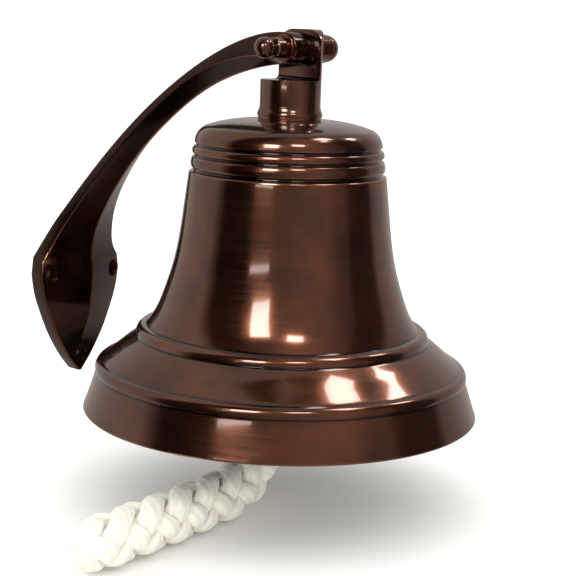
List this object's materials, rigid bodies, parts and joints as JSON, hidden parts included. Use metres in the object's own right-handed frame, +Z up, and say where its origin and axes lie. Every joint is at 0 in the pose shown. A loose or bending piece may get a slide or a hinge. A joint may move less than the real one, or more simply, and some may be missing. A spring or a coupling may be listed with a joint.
{
  "type": "ship bell",
  "caption": "Flared bell hung by a pinned stem from an arched wall bracket, with a ball clapper inside and a short braided rope pull.",
  "frame": {"origin": "on the wall face of the bracket, midway between its two upper screw holes", "axes": "+X out of the wall along the bracket's reach, +Y along the hanger pin, +Z up; the bell hangs plumb"},
  "size_m": [0.342, 0.3146, 0.3027],
  "materials": {
    "antique_bronze": "dark antique bronze, lathe-turned and lacquered, with brighter coppery edges",
    "cotton_rope": "cream-white plaited cotton"
  },
  "bodies": {
    "bracket": {"wall_bracket": "antique_bronze", "hanger_pin": "antique_bronze", "pin_head_washer": "antique_bronze", "pin_nut_washer": "antique_bronze", "pin_acorn_nut": "antique_bronze"},
    "bell": {"hanger_stem": "antique_bronze", "stem_seat_washer": "antique_bronze", "bell_shell": "antique_bronze", "crown_washer": "antique_bronze", "crown_nut": "antique_bronze", "clevis_lock_nut": "antique_bronze", "clapper_clevis": "antique_bronze", "clapper_pin": "antique_bronze", "clapper_pin_clip": "antique_bronze"},
    "clapper": {"clapper_rod": "antique_bronze", "clapper_ball": "antique_bronze", "clapper_eye": "antique_bronze"},
    "lanyard": {"lanyard_loop": "cotton_rope", "lanyard_whipping": "cotton_rope", "lanyard_braid": "cotton_rope", "lanyard_end_knot": "cotton_rope"}
  },
  "joints": [
    {"name": "bell_swing", "type": "hinge", "parent": "bracket", "child": "bell", "pos_m": [0.215, 0, 0.17], "axis": [0, -1, 0], "range_deg": [-12, 90]},
    {"name": "clapper_swing", "type": "hinge", "parent": "bell", "child": "clapper", "pos_m": [0.215, 0, 0.0746], "axis": [1, 0, 0], "range_deg": [-33, 33]},
    {"name": "lanyard_swing", "type": "hinge", "parent": "clapper", "child": "lanyard", "pos_m": [0.215, 0, -0.061], "axis": [1, 0, 0], "range_deg": [-33, 33]}
  ],
  "couplings": [
    {"joint": "lanyard_swing", "follows": "clapper_swing", "ratio": -1}
  ]
}
